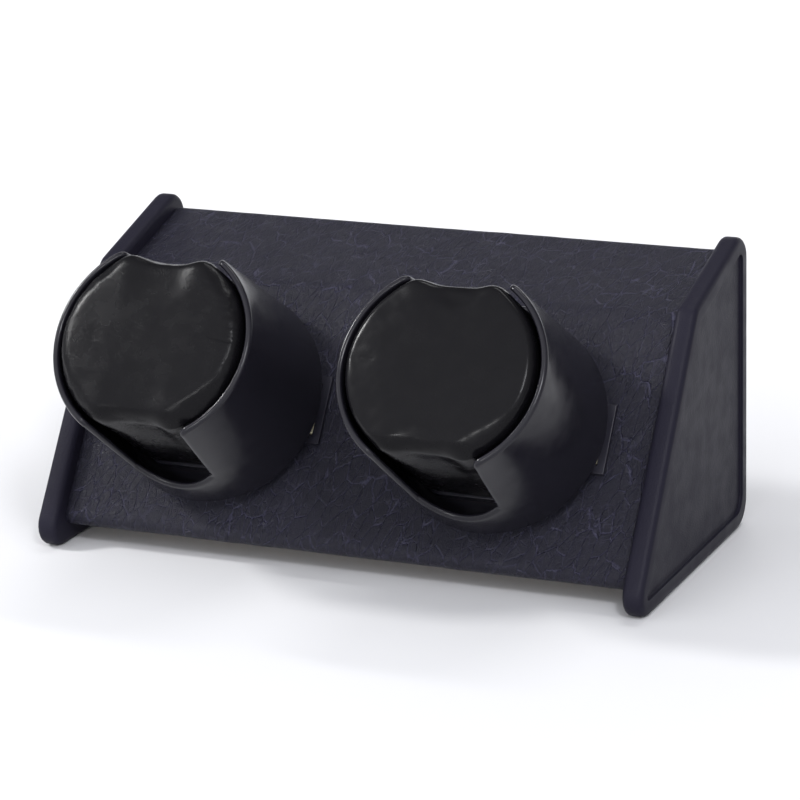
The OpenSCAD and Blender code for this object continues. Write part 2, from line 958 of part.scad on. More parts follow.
module switch_knob(side) {
    color("#e8e0c4")
        at_cup(side)
            translate([switch_x, knob_y, 0]) {
                block(-knob_half, knob_half, -2.2, 2.6);
                block([-1, -1.9], [1, 1.9], -5.6, -2.1);
            }
}

module control_board(side) {
    color("#1f6b3a")
        at_cup(side) {
            difference() {
                block(board_lo, board_hi, board_z, board_z + 1.6);
                for (y = [board_lo.y + 3, board_hi.y - 3])
                    translate([board_hi.x - 3, y, 0])
                        rod(1.2, board_z - 1, board_z + 3);
            }
            color("#151515")
                block([39.5, -4], [46.5, 4], board_z + 1.59, board_z + 3.4);
            color("#3b5fa8")
                translate([44, 12, 0])
                    rod(2.5, board_z + 1.59, board_z + 5);
        }
}

end_plate(-1);  // left_end_plate
end_plate(1);  // right_end_plate
end_board(-1);  // left_end_board
end_board(1);  // right_end_board
front_panel();
top_panel();
bottom_panel();
back_panel();
leather_cover();
end_plate_screws();
back_screws();
battery_tray();
battery_door();
battery_cells();
battery_contacts();
power_inlet();
wiring();

bezel(-1);  // left_bezel
gearcase(-1);  // left_gearcase
gearcase_cover(-1);  // left_gearcase_cover
gearcase_screws(-1);  // left_gearcase_screws
motor(-1);  // left_motor
motor_pinion(-1);  // left_motor_pinion
idler_gear(-1);  // left_idler_gear
idler_pin(-1);  // left_idler_pin
drive_gear(-1);  // left_drive_gear
output_shaft(-1);  // left_output_shaft
front_bush(-1);  // left_front_bush
rear_bush(-1);  // left_rear_bush
circlip(-1);  // left_circlip
cup(-1);  // left_cup
cup_screw(-1);  // left_cup_screw
cuff_cover(-1);  // left_cuff_cover
cuff_foam(-1);  // left_cuff_foam
cuff_base(-1);  // left_cuff_base
switch_body(-1);  // left_switch_body
switch_knob(-1);  // left_switch_knob
control_board(-1);  // left_control_board

bezel(1);  // right_bezel
gearcase(1);  // right_gearcase
gearcase_cover(1);  // right_gearcase_cover
gearcase_screws(1);  // right_gearcase_screws
motor(1);  // right_motor
motor_pinion(1);  // right_motor_pinion
idler_gear(1);  // right_idler_gear
idler_pin(1);  // right_idler_pin
drive_gear(1);  // right_drive_gear
output_shaft(1);  // right_output_shaft
front_bush(1);  // right_front_bush
rear_bush(1);  // right_rear_bush
circlip(1);  // right_circlip
cup(1);  // right_cup
cup_screw(1);  // right_cup_screw
cuff_cover(1);  // right_cuff_cover
cuff_foam(1);  // right_cuff_foam
cuff_base(1);  // right_cuff_base
switch_body(1);  // right_switch_body
switch_knob(1);  // right_switch_knob
control_board(1);  // right_control_board
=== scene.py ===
"""Looks of the watch winder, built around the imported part.

The code works in millimetres, and Blender in metres.
"""

import json
import math

import bmesh
import bpy
import numpy as np
from mathutils import Matrix, Vector

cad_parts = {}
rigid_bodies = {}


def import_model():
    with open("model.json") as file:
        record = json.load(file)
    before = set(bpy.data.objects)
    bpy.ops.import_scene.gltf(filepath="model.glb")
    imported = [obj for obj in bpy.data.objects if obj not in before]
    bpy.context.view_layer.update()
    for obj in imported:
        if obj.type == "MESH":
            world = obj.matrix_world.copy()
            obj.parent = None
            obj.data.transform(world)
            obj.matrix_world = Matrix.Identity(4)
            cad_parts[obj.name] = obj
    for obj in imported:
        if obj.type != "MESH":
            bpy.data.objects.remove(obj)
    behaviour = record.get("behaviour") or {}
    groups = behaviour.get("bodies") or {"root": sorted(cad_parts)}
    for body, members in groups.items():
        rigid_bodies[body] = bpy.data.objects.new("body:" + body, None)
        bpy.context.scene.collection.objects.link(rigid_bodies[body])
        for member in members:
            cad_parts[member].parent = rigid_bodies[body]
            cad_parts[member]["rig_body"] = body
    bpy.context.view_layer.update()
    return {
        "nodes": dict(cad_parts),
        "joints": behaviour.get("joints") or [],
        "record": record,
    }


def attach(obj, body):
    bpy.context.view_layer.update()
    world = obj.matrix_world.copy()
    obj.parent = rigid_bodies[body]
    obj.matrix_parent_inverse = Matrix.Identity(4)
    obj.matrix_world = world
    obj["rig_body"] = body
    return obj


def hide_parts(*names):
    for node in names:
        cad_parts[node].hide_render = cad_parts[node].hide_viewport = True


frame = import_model()
nodes = frame["nodes"]
scene = bpy.context.scene
MM = 0.001
SIDES = ("left", "right")

# Dimensions of the part, in millimetres. The end plates' outline, and the space between them:
CASE_D, TOP_H, KNEE_D, KNEE_H = 124.0, 115.0, 66.0, 97.5
ORIGIN_Y = -(CASE_D - 32.75) / 2
HALF_INNER = 112.0
# The leather: its thickness, how far it lies inside the outline below and elsewhere, the radii
# of its bends, and how far it reaches under the front and down the back
LEATHER_T = 1.2
BODY_CLEAR, BODY_INSET = 7.5, 5.5
TOE_R, KNEE_R, BACK_R = 4.0, 10.0, 3.0
UNDER_FRONT, DOWN_BACK = 16.0, 9.0
# The cups, from the leather up, and their notches
CUP_GAP, CUP_TOP = 6.0, 70.0
CUP_BASE_R, CUP_RIM_R, CUP_WALL = 41.0, 38.5, 2.4
NOTCH_FLOOR, NOTCH_SAG = 30.0, 6.7
NOTCH_FLOOR_W, NOTCH_RIM_W = 15.5, 19.5
# The cuffs: radius, half width over the flats, face and back
CUFF_R, CUFF_FLAT, CUFF_TOP, CUFF_BACK = 35.2, 31.0, 74.0, 13.0
# The cups' axes: how far up the slope, and how far apart
CUP_UP, PITCH = 68.2, 111.0
SLOPE = math.atan2(KNEE_H, KNEE_D)


# ---- Frames ----

def unit_frame(side):
    """Matrix of a winding unit.

    Z is the cup's axis, Y runs up the slope, and the origin is at the leather.
    """
    spin = next(j for j in frame["joints"] if j["name"] == f"{side}_cup_spin")
    z = Vector(spin["axis"]).normalized()
    x = Vector((1, 0, 0))
    y = z.cross(x)
    m = Matrix((x, y, z)).transposed().to_4x4()
    m.translation = Vector(spin["pos_m"])
    return m


UNIT = {side: unit_frame(side) for side in SIDES}


# ---- Mesh helpers ----

# Points of a CAD mesh this near (in metres) are one, and faces this near to flat are one
WELD = 2e-6
FLAT_WITHIN = math.radians(0.6)


def in_unit(points, unit):
    """Points in metres, moved from a winding unit's frame to the shared one."""
    m = np.array(unit)
    return points @ m[:3, :3].T + m[:3, 3]


def make_object(name, verts, faces, unit=None, sharp_deg=None):
    """A smooth mesh from points in millimetres, in the shared frame or in a winding unit's."""
    mesh = bpy.data.meshes.new(name)
    points = np.asarray(verts, float) * MM
    if unit is not None:
        points = in_unit(points, unit)
    mesh.from_pydata(points.tolist(), [], [list(f) for f in faces])
    mesh.validate()
    bm = bmesh.new()
    bm.from_mesh(mesh)
    bmesh.ops.recalc_face_normals(bm, faces=bm.faces)
    bm.to_mesh(mesh)
    bm.free()
    mesh.shade_smooth()
    if sharp_deg:
        mesh.set_sharp_from_angle(angle=math.radians(sharp_deg))
    obj = bpy.data.objects.new(name, mesh)
    scene.collection.objects.link(obj)
    return obj


def ring_faces(rings, n):
    """Faces between rings of n points each."""
    faces = []
    for i in range(rings - 1):
        for k in range(n):
            a, b = i * n + k, i * n + (k + 1) % n
            faces.append((a, b, b + n, a + n))
    return faces


def hash01(ix, iy, seed):
    """Repeatable pseudo-random numbers from 0 to 1 on a lattice."""
    h = np.sin(ix * 127.1 + iy * 311.7 + seed * 74.7) * 43758.5453
    return h - np.floor(h)


def noise2(x, y, seed=0):
    """Smooth value noise from -1 to 1."""
    ix, iy = np.floor(x), np.floor(y)
    fx, fy = x - ix, y - iy
    ux, uy = fx * fx * (3 - 2 * fx), fy * fy * (3 - 2 * fy)
    a = hash01(ix, iy, seed) * (1 - ux) + hash01(ix + 1, iy, seed) * ux
    b = hash01(ix, iy + 1, seed) * (1 - ux) + hash01(ix + 1, iy + 1, seed) * ux
    return (a * (1 - uy) + b * uy) * 2 - 1


def smoothstep(lo, hi, x):
    """0 up to lo, 1 from hi on, and a smooth rise between."""
    t = np.clip((x - lo) / (hi - lo), 0, 1)
    return t * t * (3 - 2 * t)


def rounded_copy(node, width, material, segments=3, angle=28):
    """A copy of a CAD node, with the small edge rounding of a moulding, that replaces it.

    Edges sharper than the angle, in degrees, get a rounding of the width, in millimetres.
    """
    mesh = nodes[node].data.copy()
    mesh.name = node + "_moulded"
    obj = bpy.data.objects.new(node + "_moulded", mesh)
    scene.collection.objects.link(obj)
    bm = bmesh.new()
    bm.from_mesh(mesh)
    bmesh.ops.remove_doubles(bm, verts=bm.verts, dist=WELD)
    bmesh.ops.dissolve_limit(bm, angle_limit=FLAT_WITHIN, verts=bm.verts, edges=bm.edges)
    bmesh.ops.recalc_face_normals(bm, faces=bm.faces)
    bm.to_mesh(mesh)
    bm.free()
    if "custom_normal" in mesh.attributes:
        mesh.attributes.remove(mesh.attributes["custom_normal"])
    mesh.shade_smooth()
    mesh.set_sharp_from_angle(angle=math.radians(angle))
    bevel = obj.modifiers.new("edge", "BEVEL")
    bevel.width = width * MM
    bevel.segments = segments
    bevel.limit_method = "ANGLE"
    bevel.angle_limit = math.radians(angle)
    bevel.harden_normals = True
    bevel.use_clamp_overlap = True
    mesh.materials.clear()
    mesh.materials.append(material)
    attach(obj, nodes[node]["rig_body"])
    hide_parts(node)


# ---- Materials ----

class Shade:
    """Builds one node material. Its textures lie in metres."""

    def __init__(self, name, base, rough, **sockets):
        self.mat = bpy.data.materials.new(name)
        self.mat.use_nodes = True
        self.tree = self.mat.node_tree
        self.bsdf = self.tree.nodes["Principled BSDF"]
        self.bsdf.inputs["Base Color"].default_value = (*base, 1)
        self.bsdf.inputs["Roughness"].default_value = rough
        for key, value in sockets.items():
            self.bsdf.inputs[key.replace("_", " ")].default_value = value
        self.coord = self.tree.nodes.new("ShaderNodeTexCoord")

    def node(self, kind, values=None, **settings):
        """A node with the values of its sockets and its own settings."""
        n = self.tree.nodes.new(kind)
        for key, value in settings.items():
            setattr(n, key, value)
        for key, value in (values or {}).items():
            n.inputs[key].default_value = value
        return n

    def link(self, a, b):
        self.tree.links.new(a, b)

    def place(self, scale=(1, 1, 1), turn=(0, 0, 0), source="Object"):
        """Texture coordinates, scaled and then turned."""
        m = self.node("ShaderNodeMapping", {"Scale": scale, "Rotation": turn})
        self.link(self.coord.outputs[source], m.inputs["Vector"])
        return m.outputs["Vector"]

    def noise(self, vector, scale, detail=3, rough=0.5):
        n = self.node("ShaderNodeTexNoise", {"Scale": scale, "Detail": detail, "Roughness": rough})
        self.link(vector, n.inputs["Vector"])
        return n.outputs["Fac"]

    def voronoi(self, vector, scale, feature="DISTANCE_TO_EDGE"):
        n = self.node("ShaderNodeTexVoronoi", {"Scale": scale}, feature=feature)
        self.link(vector, n.inputs["Vector"])
        return n.outputs["Distance"]

    def warp(self, vector, scale, amount):
        """Moves a vector about by noise, so that a pattern isn't regular."""
        n = self.node("ShaderNodeTexNoise", {"Scale": scale, "Detail": 2})
        self.link(vector, n.inputs["Vector"])
        sub = self.node("ShaderNodeVectorMath", {1: (0.5, 0.5, 0.5)}, operation="SUBTRACT")
        self.link(n.outputs["Color"], sub.inputs[0])
        mul = self.node("ShaderNodeVectorMath", {"Scale": amount}, operation="SCALE")
        self.link(sub.outputs["Vector"], mul.inputs[0])
        add = self.node("ShaderNodeVectorMath", operation="ADD")
        self.link(vector, add.inputs[0])
        self.link(mul.outputs["Vector"], add.inputs[1])
        return add.outputs["Vector"]

    def ramp(self, value, lo, hi, out_lo=0.0, out_hi=1.0):
        """A smooth step of a value, from out_lo at lo to out_hi at hi."""
        limits = {"From Min": lo, "From Max": hi, "To Min": out_lo, "To Max": out_hi}
        n = self.node("ShaderNodeMapRange", limits, interpolation_type="SMOOTHSTEP")
        self.link(value, n.inputs["Value"])
        return n.outputs["Result"]

    def math(self, operation, a, b):
        n = self.node("ShaderNodeMath", operation=operation)
        for i, v in enumerate((a, b)):
            if isinstance(v, (int, float)):
                n.inputs[i].default_value = v
            else:
                self.link(v, n.inputs[i])
        return n.outputs["Value"]

    def colour(self, value, low, high):
        """Base colour between two tones, by value."""
        n = self.node("ShaderNodeMix", {"A": (*low, 1), "B": (*high, 1)}, data_type="RGBA")
        self.link(value, n.inputs["Factor"])
        out = next(o for o in n.outputs if o.type == "RGBA")
        self.link(out, self.bsdf.inputs["Base Color"])

    def roughness(self, value, low, high):
        """Roughness between two values, by a noise that lies about a half."""
        self.link(self.ramp(value, 0.25, 0.75, low, high), self.bsdf.inputs["Roughness"])

    def bump(self, *layers):
        """Stacks bump layers, each given as (height, strength, distance in metres)."""
        previous = None
        for height, strength, distance in layers:
            n = self.node("ShaderNodeBump", {"Strength": strength, "Distance": distance})
            self.link(height, n.inputs["Height"])
            if previous is not None:
                self.link(previous, n.inputs["Normal"])
            previous = n.outputs["Normal"]
        self.link(previous, self.bsdf.inputs["Normal"])


def tint(base, k):
    """A colour k times as bright."""
    return tuple(min(1.0, c * k) for c in base)


def moulded(name, base, rough, grain=0.35, grain_scale=2600, vary=0.12, **sockets):
    """Moulded plastic: fine texture, faint mottling, slightly uneven gloss."""
    s = Shade(name, base, rough, **sockets)
    p = s.place()
    broad = s.noise(p, 60, 4)
    s.colour(broad, tint(base, 1 - vary), tint(base, 1 + vary))
    s.roughness(s.noise(p, 140, 3), rough - 0.05, rough + 0.06)
    fine = s.noise(p, grain_scale, 2, 0.6)
    pits = s.voronoi(p, grain_scale * 0.45, "F1")
    s.bump((broad, 0.04, 0.0003), (fine, grain, 0.00006), (pits, grain * 0.6, 0.00005))
    return s.mat


def metal(name, base, rough, stretch=(1, 1, 1), scale=900):
    """Metal with fine drawn or turned marks and faint stains."""
    s = Shade(name, base, rough, Metallic=1.0)
    p = s.place(stretch)
    marks = s.noise(p, scale, 4, 0.7)
    s.colour(s.noise(s.place(), 120, 4), tint(base, 0.86), tint(base, 1.06))
    s.roughness(marks, rough - 0.08, rough + 0.1)
    s.bump((marks, 0.2, 0.00005))
    return s.mat


def make_leather():
    """Pebbled hide with long slanted creases, whose lighter colour is a painted highlight; the texture
    lies in the flat sheet's metres.
    """
    base = (0.0108, 0.0104, 0.0178)
    s = Shade("pebbled_leather", base, 0.32, Specular_IOR_Level=0.19)
    uv = s.place(source="UV")
    wavy = s.warp(s.warp(uv, 55, 0.0028), 900, 0.0005)

    def creases(turn, stretch, scale, width):
        """Depth of the creases round cells that lie along a slant: 1 in a crease, 0 on a cell."""
        slant = {"Scale": (1, stretch, 1), "Rotation": (0, 0, math.radians(turn))}
        m = s.node("ShaderNodeMapping", slant, vector_type="TEXTURE")
        s.link(wavy, m.inputs["Vector"])
        return s.ramp(s.voronoi(m.outputs["Vector"], scale), 0.0, width, 1.0, 0.0)

    def patches(scale, low):
        """Where creases are full, and where they fade to the low value."""
        return s.ramp(s.noise(uv, scale, 3), 0.32, 0.62, low, 1.0)

    long_creases = s.math("MULTIPLY", creases(-19, 2.7, 240, 0.05), patches(35, 0.35))
    short_creases = s.math("MULTIPLY", creases(-8, 2.0, 400, 0.08), patches(70, 0.15))
    grain = s.ramp(s.voronoi(s.warp(uv, 1500, 0.0003), 1750), 0.0, 0.32)
    pores = s.noise(uv, 5200, 2, 0.6)
    soft = s.noise(wavy, 210, 3, 0.5)
    # The creases are painted up to 4.2 times lighter than the hide: a painted highlight for the glints
    # along the crease walls.
    long_crease_highlight = s.math("MULTIPLY", long_creases, 0.75)
    crease_highlight = s.math("ADD", long_crease_highlight, s.math("MULTIPLY", short_creases, 0.3))
    s.colour(crease_highlight, tint(base, 0.92), tint(base, 4.2))
    s.roughness(s.noise(uv, 110, 3), 0.27, 0.38)
    s.bump(
        (soft, 0.4, 0.0009),
        (s.math("SUBTRACT", 1.0, long_creases), 1.0, 0.0006),
        (s.math("SUBTRACT", 1.0, short_creases), 0.8, 0.00026),
        (grain, 0.9, 0.00014),
        (pores, 0.25, 0.00004),
    )
    return s.mat


def make_cuff_leather(name, rough, grain_depth):
    """Smooth soft leather with a fine grain."""
    base = (0.0032, 0.0030, 0.0038)
    s = Shade(name, base, rough, Specular_IOR_Level=0.12)
    p = s.place()
    grain = s.ramp(s.voronoi(s.warp(p, 900, 0.0005), 1900), 0, 0.3)
    soft = s.noise(p, 60, 3)
    s.colour(soft, tint(base, 0.85), tint(base, 1.15))
    s.roughness(s.noise(p, 160, 3), rough - 0.05, rough + 0.07)
    s.bump((soft, 0.08, 0.0007), (grain, grain_depth, 0.00005), (s.noise(p, 3600, 2), 0.15, 0.00003))
    return s.mat


def make_plate_plastic():
    """Satin moulding whose recessed face has a coarser grain than its border."""
    base = (0.0115, 0.0107, 0.0180)
    s = Shade("end_plate_plastic", base, 0.5, Specular_IOR_Level=0.08)
    p = s.place()
    split = s.node("ShaderNodeSeparateXYZ")
    s.link(p, split.inputs["Vector"])
    off_middle = s.math("ABSOLUTE", split.outputs["X"], 0)
    border = s.ramp(off_middle, 0.11895, 0.11925)
    broad = s.noise(p, 45, 4)
    grain = s.voronoi(s.warp(p, 1500, 0.0004), 1700, "F1")
    coarse = s.math("MULTIPLY", s.math("SUBTRACT", 1.0, border), grain)
    fine = s.noise(p, 3200, 2, 0.6)
    s.colour(broad, tint(base, 0.92), tint(base, 1.1))
    s.roughness(s.noise(p, 120, 3), 0.40, 0.5)
    s.bump((broad, 0.04, 0.0004), (coarse, 0.6, 0.00012), (fine, 0.25, 0.00005))
    return s.mat


def make_board():
    """Fibreboard: flecks and short fibres."""
    base = (0.26, 0.18, 0.11)
    s = Shade("fibreboard", base, 0.8)
    p = s.place()
    fibres = s.noise(s.place((1, 6, 6)), 260, 6, 0.75)
    flecks = s.voronoi(p, 900, "F1")
    mixed = s.math("ADD", s.math("MULTIPLY", fibres, 0.7), s.math("MULTIPLY", flecks, 0.4))
    s.colour(mixed, tint(base, 0.62), tint(base, 1.2))
    s.roughness(fibres, 0.7, 0.88)
    s.bump((fibres, 0.5, 0.0002), (flecks, 0.3, 0.0001))
    return s.mat


def make_foam():
    """Open-celled foam."""
    base = (0.12, 0.12, 0.12)
    s = Shade("grey_foam", base, 0.95)
    p = s.place()
    holes = s.voronoi(s.warp(p, 500, 0.0008), 700, "F1")
    # The holes are painted darker than the foam round them: painted shade in the open cells.
    s.colour(holes, tint(base, 0.5), tint(base, 1.3))
    s.roughness(holes, 0.85, 0.98)
    s.bump((holes, 0.9, 0.0006))
    return s.mat


def make_circuit():
    """Solder resist over tracks that run along the board."""
    base = (0.012, 0.09, 0.035)
    s = Shade("circuit_board", base, 0.35)
    p = s.place(turn=(-SLOPE, 0, 0))
    spacing = {"Scale": 160, "Distortion": 1.5}
    wave = s.node("ShaderNodeTexWave", spacing, wave_type="BANDS", bands_direction="X")
    s.link(p, wave.inputs["Vector"])
    tracks = s.ramp(wave.outputs["Fac"], 0.55, 0.75)
    s.colour(tracks, base, (0.03, 0.2, 0.07))
    s.roughness(s.noise(p, 300, 3), 0.28, 0.42)
    s.bump((tracks, 0.4, 0.00006))
    return s.mat


# ---- Leather cover ----

def inset_outline(pts, d):
    """An outline moved inwards; d gives each side's distance."""
    pts = [np.array(p, float) for p in pts]
    out = []
    for i in range(len(pts)):
        a, b, c = pts[i - 1], pts[i], pts[(i + 1) % len(pts)]
        u, v = (b - a) / np.linalg.norm(b - a), (c - b) / np.linalg.norm(c - b)
        p = b + d[i - 1] * np.array([-u[1], u[0]])
        q = b + d[i] * np.array([-v[1], v[0]])
        w = q - p
        k = (w[0] * v[1] - w[1] * v[0]) / (u[0] * v[1] - u[1] * v[0])
        out.append(p + u * k)
    return out


def fillet(a, b, c, r, step=0.35):
    """Points of the arc of radius r that rounds corner b."""
    u, v = (b - a) / np.linalg.norm(b - a), (c - b) / np.linalg.norm(c - b)
    turn = math.atan2(u[0] * v[1] - u[1] * v[0], float(u @ v))
    start = b - u * abs(r * math.tan(turn / 2))
    side = 1 if turn > 0 else -1
    centre = start + side * r * np.array([-u[1], u[0]])
    n = max(3, int(abs(turn) * r / step))
    first = math.atan2(start[1] - centre[1], start[0] - centre[0])
    angles = [first + turn * k / n for k in range(n + 1)]
    return [centre + r * np.array([math.cos(a), math.sin(a)]) for a in angles]


def leather_path():
    """Points (y, z) of the leather's outer surface in the side view, and those of its first arc."""
    outline = [(0, 0), (CASE_D, 0), (CASE_D, TOP_H), (KNEE_D, KNEE_H)]
    sides = [BODY_CLEAR, BODY_INSET, BODY_INSET, BODY_INSET]
    toe, heel, top, knee = inset_outline(outline, sides)
    toe_arc = fillet(heel, toe, knee, TOE_R)
    knee_arc = fillet(toe, knee, top, KNEE_R)
    back_arc = fillet(knee, top, heel, BACK_R)
    start = np.array([toe[0] + UNDER_FRONT, toe[1]])
    end = np.array([top[0], top[1] - DOWN_BACK])
    return np.array([start, *toe_arc, *knee_arc, *back_arc, end]), toe_arc


PATH, TOE_ARC = leather_path()
ARC = np.concatenate([[0], np.cumsum(np.linalg.norm(np.diff(PATH, axis=0), axis=1))])


def on_path(v):
    """Point and outward normal of the leather's profile at length v."""
    y, z = np.interp(v, ARC, PATH[:, 0]), np.interp(v, ARC, PATH[:, 1])
    e = 0.25
    dy = np.interp(v + e, ARC, PATH[:, 0]) - np.interp(v - e, ARC, PATH[:, 0])
    dz = np.interp(v + e, ARC, PATH[:, 1]) - np.interp(v - e, ARC, PATH[:, 1])
    n = np.hypot(dy, dz)
    return y, z, -dz / n, dy / n


def stops(marks, step):
    """A rising list of numbers through all the marks, at most step apart."""
    out = [marks[0]]
    for a, b in zip(marks, marks[1:]):
        n = max(1, int(math.ceil((b - a) / step)))
        out += [a + (b - a) * k / n for k in range(1, n + 1)]
    return np.array(out)


# Half sizes of the leather's windows and of the bezels over them
WINDOW_X, WINDOW_V = 39.2, 11.6
BEZEL_X, BEZEL_V = 41.0, 13.4
# The pinch along the end plates, and how far the waves take to fade out elsewhere
PINCH_DEPTH, PINCH_W = 0.7, 2.2
FADE = 2.5
# How clear the leather stays of the end plates, and of the boards under it
SIDE_GAP, UNDER_GAP = 0.05, 0.02


def leather_lift(U, V, edge, axis_v):
    """How far the hide stands off its path: slow waves, pinched at its ends and under the bezels."""
    wave_u = U / 17.0 + 0.35 * noise2(U / 9, V / 9, 3)
    wave_v = V / 26.0 + 0.35 * noise2(U / 11, V / 11, 4)
    lift = 0.08 + 0.1 * noise2(wave_u, wave_v, 1) + 0.05 * noise2(U / 6.5, V / 8.5, 2)
    pinch = 1 - smoothstep(0.0, PINCH_W, edge - np.abs(U))
    lift = lift - PINCH_DEPTH * pinch * pinch
    for x in (-PITCH / 2, PITCH / 2):
        away = np.maximum(np.abs(U - x) - BEZEL_X, np.abs(V - axis_v) - BEZEL_V)
        press = 1 - smoothstep(-0.5, FADE, away)
        lift = lift * (1 - press) - 0.05 * press
    ends = smoothstep(0, FADE, V) * smoothstep(0, FADE, ARC[-1] - V)
    return lift * ends


def build_leather(material):
    """The cover, made flat across (U) and along its path (V), with two windows, and bent to the path."""
    step = 0.8
    # The cup axis on the path: measured along the straight front from the end of the toe's arc
    toe_end_v = ARC[len(TOE_ARC)]
    front_dir = np.array([math.cos(SLOPE), math.sin(SLOPE)])
    inwards = np.array([math.sin(SLOPE), -math.cos(SLOPE)])
    axis_point = CUP_UP * front_dir + BODY_INSET * inwards
    axis_v = toe_end_v + float((axis_point - TOE_ARC[-1]) @ front_dir)
    edge = HALF_INNER - SIDE_GAP
    right = [PITCH / 2 - WINDOW_X, PITCH / 2 + WINDOW_X, edge - 2.5, edge - 0.5, edge]
    us = stops([-u for u in reversed(right)] + right, step)
    vs = stops([0, 8, axis_v - WINDOW_V, axis_v + WINDOW_V, ARC[-1]], step)
    U, V = np.meshgrid(us, vs)
    y, z, ny, nz = on_path(V)
    lift = leather_lift(U, V, edge, axis_v)
    depth = LEATHER_T - UNDER_GAP
    outer = np.stack([U, y + lift * ny + ORIGIN_Y, z + lift * nz], -1).reshape(-1, 3)
    inner = np.stack([U, y - depth * ny + ORIGIN_Y, z - depth * nz], -1).reshape(-1, 3)
    rows, cols = U.shape
    n = rows * cols
    hole = np.zeros((rows - 1, cols - 1), bool)
    mid_u, mid_v = (us[1:] + us[:-1]) / 2, (vs[1:] + vs[:-1]) / 2
    for x in (-PITCH / 2, PITCH / 2):
        hole |= (np.abs(mid_v - axis_v) < WINDOW_V)[:, None] & (np.abs(mid_u - x) < WINDOW_X)[None, :]
    faces, uses = [], {}
    for i in range(rows - 1):
        for k in range(cols - 1):
            if hole[i, k]:
                continue
            a = i * cols + k
            face = (a, a + 1, a + cols + 1, a + cols)
            faces.append(face)
            faces.append(tuple(n + q for q in reversed(face)))
            for pair in zip(face, face[1:] + face[:1]):
                uses.setdefault(frozenset(pair), []).append(pair)
    for pairs in uses.values():
        if len(pairs) == 1:
            a, b = pairs[0]
            faces.append((b, a, n + a, n + b))
    obj = make_object("leather_skin", np.concatenate([outer, inner]), faces, sharp_deg=60)
    uv = obj.data.uv_layers.new(name="UVMap")
    flat = np.stack([U, V], -1).reshape(-1, 2) * MM
    flat = np.concatenate([flat, flat])
    loops = np.zeros(len(obj.data.loops), np.int32)
    obj.data.loops.foreach_get("vertex_index", loops)
    uv.data.foreach_set("uv", flat[loops].astype(np.float32).ravel())
    obj.data.materials.append(material)
    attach(obj, "case")
    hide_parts("leather_cover")


# ---- Cups ----

HUB_R, BUSH_R, HUB_DROP = 7.0, 3.0, 3.6
FLOOR_T, FOOT_R = 3.0, 3.0
FLOOR_RINGS = (6.9, 12, 20, 30)
RIM_STEPS, WALL_STEPS, INNER_STEPS = 26, 16, 14
# The lip: outer radius, how far it drops, inner radius
LIP = (1.25, 1.7, 0.95)


def cup_radius(z):
    """Outer radius of the tapered wall at a height."""
    return CUP_BASE_R + (CUP_RIM_R - CUP_BASE_R) * (z - CUP_GAP) / (CUP_TOP - CUP_GAP)


def cup_edge():
    """The cup's free edge for a quarter turn: angle from the notch's middle, and height."""
    floor_end = np.array([NOTCH_FLOOR_W, NOTCH_FLOOR])
    rim_start = np.array([NOTCH_RIM_W, CUP_TOP])
    along_rim = np.array([NOTCH_RIM_W + 20, CUP_TOP])
    pts = [
        np.array([NOTCH_FLOOR_W * t, NOTCH_FLOOR - NOTCH_SAG * (1 - t * t)])
        for t in np.linspace(0, 0.92, 12)
    ]
    pts += fillet(pts[-1], floor_end, rim_start, 2.5, 0.3)
    pts += fillet(floor_end, rim_start, along_rim, 3.0, 0.5)
    dense = [pts[0]]
    for p in pts[1:]:
        n = max(1, int(np.linalg.norm(p - dense[-1]) / 2.5))
        dense += [dense[-1] + (p - dense[-1]) * k / n for k in range(1, n + 1)]
    theta = [math.asin(p[0] / cup_radius(p[1])) for p in dense]
    height = [p[1] for p in dense]
    last = theta[-1]
    theta += [last + (math.pi / 2 - last) * k / RIM_STEPS for k in range(1, RIM_STEPS + 1)]
    height += [CUP_TOP] * RIM_STEPS
    return np.array(theta), np.array(height)


def lip_section(half, outer, drop, inner):
    """The lip across the wall, as (offset from its middle, height): soft outside, tight inside."""
    pts = []
    for k in range(8):
        a = math.radians(90 / 7 * k)
        pts.append((half - outer + outer * math.cos(a), half - drop + drop * math.sin(a)))
    for k in range(7):
        a = math.radians(90 + 15 * k)
        pts.append((inner - half + inner * math.cos(a), half - inner + inner * math.sin(a)))
    return pts


